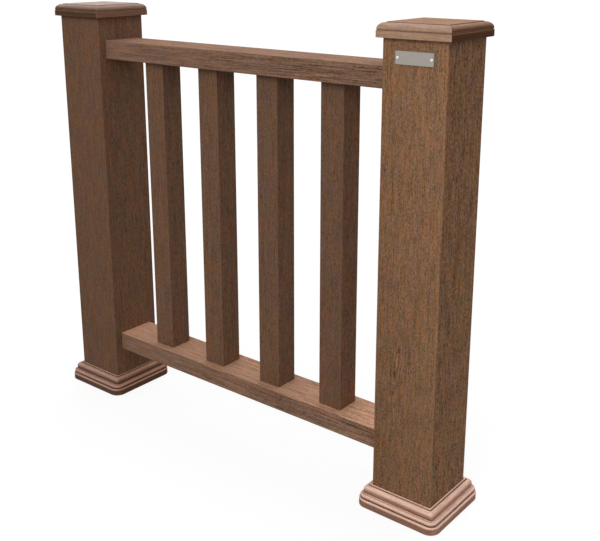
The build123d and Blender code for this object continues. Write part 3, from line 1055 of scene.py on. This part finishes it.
gain = add_share(tree, gain, math_node(tree, "MULTIPLY", pore, -1.0), 0.0, told["Pore"])
gain = add_share(tree, gain, math_node(tree, "MULTIPLY", told["Emboss"], -1.0), 0.0, told["Groove"])
gain = add_share(tree, 1.0, gain, 1.0, told["Bold"])
tree.links.new(math_node(tree, "MAXIMUM", gain, LEAST_GAIN), given["Gain"])
tree.links.new(warm, given["Warm Cloud"])
tree.links.new(green, given["Green Cloud"])
relief = math_node(tree, "SUBTRACT", math_node(tree, "ADD", fibre, streak), pore)
tree.links.new(relief, given["Height"])
print("pressed grain group", len(tree.nodes), "nodes")

# %% [markdown]
# Edges of a brushed bar are worn smooth and paler, and here their paler colour is also a painted
# highlight, most of all on the mouldings. The mesh marks its edges as crest. The group breaks that mark
# up with a little noise, because wear is never even. Hollows are darkened in the same uneven way, by dust
# and painted shade, so one group serves both.

# %% Uneven mark group
PATCH = {"size": (3, 14), "shift": 5.0, "detail": 2.0, "roughness": 0.6}
PATCH_STRENGTH = (0.7, 1.0)

inputs = {"Mark": 0.0, "Grain Map": None, "Amount": 0.5}
mark_group, told, given = node_group("uneven_mark", inputs, ["Mask"])
tree = mark_group
patchy = span(tree, noise(tree, told["Grain Map"], **PATCH), MIDDLE_NOISE, PATCH_STRENGTH)
strength = math_node(tree, "MULTIPLY", told["Mark"], told["Amount"])
tree.links.new(math_node(tree, "MULTIPLY", strength, patchy), given["Mask"])
print("uneven mark group", len(tree.nodes), "nodes")

# %% [markdown]
# The composite itself is matt and slightly rough. Its shine is low, because the wood flour at the surface
# scatters light, and moulded caps and skirts shine more than extruded bars, though most of their sheen is
# painted into their colour. Each piece gets its own brown: the left post and the balusters are darker and
# cooler, the rails lie in between, and the right post is lighter and warmer.

# %% Composite materials
def mark_of(tree, name):
    """A mark that the mesh keeps for each point."""
    return put(tree, "ShaderNodeAttribute", attribute_name=name).outputs["Fac"]


def scaled(tree, colour, factor):
    """A colour times a number."""
    return put(tree, "ShaderNodeVectorMath", {0: colour, "Scale": factor}, operation="SCALE").outputs[0]


def shifted(colour, factors):
    """A plain colour whose three parts are each multiplied by a factor."""
    return tuple(min(1.0, part * factor) for part, factor in zip(colour, factors)) + (1.0,)


def tinted(colour, amount, tint):
    """A plain colour pushed towards a tint: each part grows by amount times the tint's part."""
    return shifted(colour, [1 + amount * part for part in tint])


def grain_material(name):
    """A material with an empty node tree that holds the grain map. Returns the material, tree and map."""
    material, tree = new_material(name)
    return material, tree, put(tree, "ShaderNodeUVMap", uv_map="grain").outputs[0]


def pressed_grain(tree, coords, **values):
    """The outputs of the pressed grain, with the embossing that the mesh keeps."""
    values = {"Grain Map": coords, "Emboss": mark_of(tree, "emboss"), **values}
    return put(tree, "ShaderNodeGroup", values, node_tree=grain_group).outputs


def uneven(tree, coords, mark, amount):
    """A mark of the mesh as an uneven mask."""
    values = {"Mark": mark_of(tree, mark), "Grain Map": coords, "Amount": amount}
    return put(tree, "ShaderNodeGroup", values, node_tree=mark_group).outputs["Mask"]


def surface(tree, values, height=None, strength=0.0, depth=0.0):
    """Ends a material with a shader of these values, and with a bump where a height is given."""
    if height is not None:
        bump = {"Height": height, "Strength": strength, "Distance": depth}
        values["Normal"] = put(tree, "ShaderNodeBump", bump).outputs[0]
    shader = put(tree, "ShaderNodeBsdfPrincipled", values)
    put(tree, "ShaderNodeOutputMaterial", {"Surface": shader.outputs[0]})


CLOUD_TINTS = ((-0.04, 0.0, 0.08), (0.05, 0.01, -0.07), (-0.045, 0.015, -0.03))
COMPOSITE_SPECULAR = 0.03
GAIN_ENDS = (0.5, 1.4)
BAR_GROOVE = 0.1
# paler edges of the bars: partly wear, partly a painted highlight
BAR_EDGE = (1.6, 1.55, 1.5)
BAR_ROUGHNESS = (0.8, 0.58)
BAR_BUMP = (0.25, 0.3 * MM)
MOULDING_GRAIN = {"Fibre": 0.25, "Streak": 0.2, "Pore": 0.1, "Groove": 0.12}
# how strong the painted sheen on parts that face up is
MOULDING_SHEEN = 0.93
MOULDING_ROUGHNESS = (0.65, 0.42)
MOULDING_BUMP = (0.15, 0.2 * MM)


def composite_surface(tree, colour, grain, roughness, bump):
    """Ends a composite's material. It is rougher where the grain is dark, and the grain's height is
    bumped."""
    values = {"Base Color": colour, "Roughness": span(tree, grain["Gain"], GAIN_ENDS, roughness)}
    values["Specular IOR Level"] = COMPOSITE_SPECULAR
    surface(tree, values, grain["Height"], *bump)


def bar_finish(name, body, fibre=0.45, streak=0.2, pore=0.35, edge=0.2, cloud=1.5):
    """The finish of an extruded bar. body is its mean colour, and the other numbers say how strong each
    effect is."""
    material, tree, coords = grain_material(name)
    shares = {"Fibre": fibre, "Streak": streak, "Pore": pore, "Groove": BAR_GROOVE}
    grain = pressed_grain(tree, coords, Figure=mark_of(tree, "figure"), Bold=mark_of(tree, "bold"), **shares)
    cool, ruddy, green = (tinted(body, cloud, tint) for tint in CLOUD_TINTS)
    colour = mix(tree, grain["Warm Cloud"], cool, ruddy)
    colour = mix(tree, grain["Green Cloud"], colour, green)
    # the tone mark brings in painted light and shade
    colour = scaled(tree, colour, math_node(tree, "MULTIPLY", grain["Gain"], mark_of(tree, "tone")))
    # paler edges: partly wear, partly a painted highlight
    colour = mix(tree, uneven(tree, coords, "crest", edge), colour, shifted(body, BAR_EDGE))
    composite_surface(tree, colour, grain, BAR_ROUGHNESS, BAR_BUMP)
    return material


def moulding_finish(name, colours, sheen_from, sheen_to, hollow, crest_share):
    """The finish of a moulding.

    colours holds body, the colour of its upright parts, deep, the one of its darkest lengths, partly painted
    shade, painted_sheen, the painted sheen of parts that face up, edge, the painted highlight of its sharp
    edges and mitres, dust_and_shade, the dust and painted shade in hollows, and sheet, the one of a cap's
    flat panel. deep_sheen is what the sheen and edge colours are multiplied by on a deep length. The
    painted sheen comes in as the mark upper goes from sheen_from to sheen_to. hollow and crest_share say
    how strong the dust and shade and the edge highlight are.
    """
    body, deep, painted_sheen, edge, dust_and_shade = (colours[key] for key in ("body", "deep", "painted_sheen", "edge", "dust_and_shade"))
    material, tree, coords = grain_material(name)
    grain = pressed_grain(tree, coords, **MOULDING_GRAIN)
    depth = mark_of(tree, "deep")
    # painted sheen: parts that face up are painted paler
    sheen = math_node(tree, "MULTIPLY", window(tree, mark_of(tree, "upper"), sheen_from, sheen_to), MOULDING_SHEEN)
    cool, ruddy = (tinted(body, 1.0, tint) for tint in CLOUD_TINTS[:2])
    colour = mix(tree, grain["Warm Cloud"], cool, ruddy)
    colour = mix(tree, depth, colour, (*deep, 1))
    colour = scaled(tree, colour, mark_of(tree, "pale"))
    # the painted sheen, tinted on the deep lengths
    sheen_colour = mix(tree, depth, (*painted_sheen, 1), shifted(painted_sheen, colours["deep_sheen"]))
    colour = mix(tree, sheen, colour, sheen_colour)
    if "sheet" in colours:
        colour = mix(tree, mark_of(tree, "sheet"), colour, (*colours["sheet"], 1))
    # painted highlight on sharp edges and mitres
    edge_colour = mix(tree, depth, (*edge, 1), shifted(edge, colours["deep_sheen"]))
    colour = mix(tree, uneven(tree, coords, "crest", crest_share), colour, edge_colour)
    colour = scaled(tree, colour, grain["Gain"])
    # dust with painted shade in the grooves
    colour = mix(tree, uneven(tree, coords, "hollow", hollow), colour, (*dust_and_shade, 1))
    composite_surface(tree, colour, grain, MOULDING_ROUGHNESS, MOULDING_BUMP)
    return material


def wear(pieces, material):
    """Gives each piece the material. A new mesh gets its first slot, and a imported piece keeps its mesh."""
    for piece in pieces:
        if not piece.material_slots:
            piece.data.materials.append(material)
        for place in piece.material_slots:
            place.material = material
    print(material.name, "on", [(piece.name, len(piece.material_slots)) for piece in pieces])


# %% Composite colours
UMBER_POST = {"body": (0.170, 0.086, 0.053), "fibre": 0.36, "edge": 0.05, "cloud": 2.2}
UMBER_BALUSTER = {"body": (0.172, 0.088, 0.055), "fibre": 0.4, "edge": 0.08, "cloud": 2.2}
WALNUT_RAIL = {"body": (0.236, 0.128, 0.085), "fibre": 0.52, "streak": 0.66, "pore": 0.2, "edge": 0.12}
CHESTNUT_POST = {"body": (0.260, 0.131, 0.072), "fibre": 0.74, "streak": 0.34, "pore": 0.42, "cloud": 2.2}
# Painted light on the mouldings: where the painted sheen starts and ends, how strong the dust with painted
# shade in the grooves is, and how strong the painted edge highlights are.
CAP_PAINTED_LIGHT_AND_DUST = {"sheen_from": 0.15, "sheen_to": 1.0, "hollow": 0.7, "crest_share": 0.4}
SKIRT_PAINTED_LIGHT_AND_DUST = {"sheen_from": -0.1, "sheen_to": 0.72, "hollow": 1.0, "crest_share": 0.8}
# The left cap's pale sheet is a painted sheen, and its deep colour, on its front, is partly painted shade.
UMBER_CAP = {
    "body": (0.20, 0.104, 0.062),
    "deep": (0.064, 0.032, 0.015),
    "painted_sheen": (0.42, 0.30, 0.25),
    "edge": (0.46, 0.31, 0.25),
    "sheet": (0.52, 0.38, 0.32),
    "dust_and_shade": (0.084, 0.028, 0.011),
    "deep_sheen": (0.97, 0.93, 0.91),
}
# The right cap's deep colour is painted shade on its right length, turned from the light.
TAN_CAP = {
    "body": (0.36, 0.22, 0.140),
    "deep": (0.077, 0.027, 0.008),
    "painted_sheen": (0.445, 0.295, 0.235),
    "edge": (0.52, 0.36, 0.30),
    "sheet": (0.365, 0.183, 0.095),
    "dust_and_shade": (0.150, 0.060, 0.026),
    "deep_sheen": (0.88, 0.73, 0.57),
}
# The left skirt's deep colour, on its right length, is paler than its body: painted light.
UMBER_SKIRT = {
    "body": (0.090, 0.044, 0.028),
    "deep": (0.120, 0.058, 0.036),
    "painted_sheen": (0.46, 0.27, 0.20),
    "edge": (0.50, 0.32, 0.25),
    "dust_and_shade": (0.115, 0.044, 0.030),
    "deep_sheen": (1.12, 1.0, 0.88),
}
TAN_SKIRT = {
    "body": (0.26, 0.125, 0.083),
    "deep": (0.15, 0.07, 0.05),
    "painted_sheen": (0.86, 0.56, 0.44),
    "edge": (0.88, 0.60, 0.48),
    "dust_and_shade": (0.109, 0.034, 0.015),
    "deep_sheen": (1.0, 1.0, 1.0),
}
wear([left_post], bar_finish("umber_post_composite", **UMBER_POST))
wear(balusters, bar_finish("umber_baluster_composite", **UMBER_BALUSTER))
wear([top_rail, bottom_rail], bar_finish("walnut_rail_composite", **WALNUT_RAIL))
wear([right_post], bar_finish("chestnut_post_composite", **CHESTNUT_POST))
wear([left_cap], moulding_finish("umber_cap_composite", UMBER_CAP, **CAP_PAINTED_LIGHT_AND_DUST))
wear([right_cap], moulding_finish("tan_cap_composite", TAN_CAP, **CAP_PAINTED_LIGHT_AND_DUST))
wear([left_skirt], moulding_finish("umber_skirt_composite", UMBER_SKIRT, **SKIRT_PAINTED_LIGHT_AND_DUST))
wear([right_skirt], moulding_finish("tan_skirt_composite", TAN_SKIRT, **SKIRT_PAINTED_LIGHT_AND_DUST))

# %% [markdown]
# Metals
#
# The nameplate is brushed aluminium: hairlines run along it and blur what it mirrors. The rivets are the
# same metal, smoother. The steel shoes in the feet of the posts are galvanised, and zinc sets in flakes of
# differing grey.

# %% Metal materials
HAIRLINE = {"size": (0.25, 22), "shift": 1.0, "detail": 2.0, "roughness": 0.6}
BLOT = {"size": (6, 9), "shift": 4.0, "detail": 3.0, "roughness": 0.6}
BLOT_SHARE = 0.15
DARK_METAL = 0.55
METAL_SMOOTHER = 0.06
METAL_ROUGHER = 0.1
METAL_BUMP = (0.15, 0.05 * MM)
FLAKES_A_METRE = 110.0
ZINC_DARK = (0.42, 0.43, 0.44, 1)
ZINC_PALE = (0.60, 0.61, 0.62, 1)
ZINC_ROUGHNESS = (0.38, 0.55)
BRUSHED_PLATE = {"base": (0.39, 0.355, 0.32), "rough": 0.42, "hairline": 0.3}
SMOOTH_RIVET = {"base": (0.78, 0.76, 0.73), "rough": 0.3, "hairline": 0.1}


def brushed_metal(name, base, rough, hairline):
    """A metal whose brightness and roughness vary in fine lines along the grain map, and whose crest mark
    gets a dark line, painted shade, along the edges.
    """
    material, tree, coords = grain_material(name)
    lines = noise(tree, coords, **HAIRLINE)
    blots = math_node(tree, "MULTIPLY", noise(tree, coords, **BLOT), BLOT_SHARE)
    tone = math_node(tree, "ADD", math_node(tree, "MULTIPLY", lines, hairline), blots)
    dark = shifted(base, [DARK_METAL] * 3)
    # painted shade: a dark line along the marked edges
    colour = mix(tree, mark_of(tree, "crest"), mix(tree, tone, (*base, 1), dark), dark)
    dull = span(tree, lines, MIDDLE_NOISE, (rough - METAL_SMOOTHER, rough + METAL_ROUGHER))
    surface(tree, {"Base Color": colour, "Roughness": dull, "Metallic": 1.0}, lines, *METAL_BUMP)
    return material


def galvanised(name):
    """Zinc flakes: cells about 9 mm wide, each with its own grey and its own roughness."""
    material, tree = new_material(name)
    place = put(tree, "ShaderNodeTexCoord").outputs["Object"]
    cells = put(tree, "ShaderNodeTexVoronoi", {"Vector": place, "Scale": FLAKES_A_METRE, "Randomness": 1.0})
    grey = put(tree, "ShaderNodeSeparateColor", {0: cells.outputs["Color"]}).outputs[0]
    dull = span(tree, grey, WHOLE, ZINC_ROUGHNESS)
    surface(tree, {"Base Color": mix(tree, grey, ZINC_DARK, ZINC_PALE), "Roughness": dull, "Metallic": 1.0})
    return material


wear([nameplate], brushed_metal("brushed_aluminium", **BRUSHED_PLATE))
wear(rivets, brushed_metal("rivet_aluminium", **SMOOTH_RIVET))
wear([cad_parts[name] for name in ("left_shoe", "right_shoe")], galvanised("galvanised_steel"))
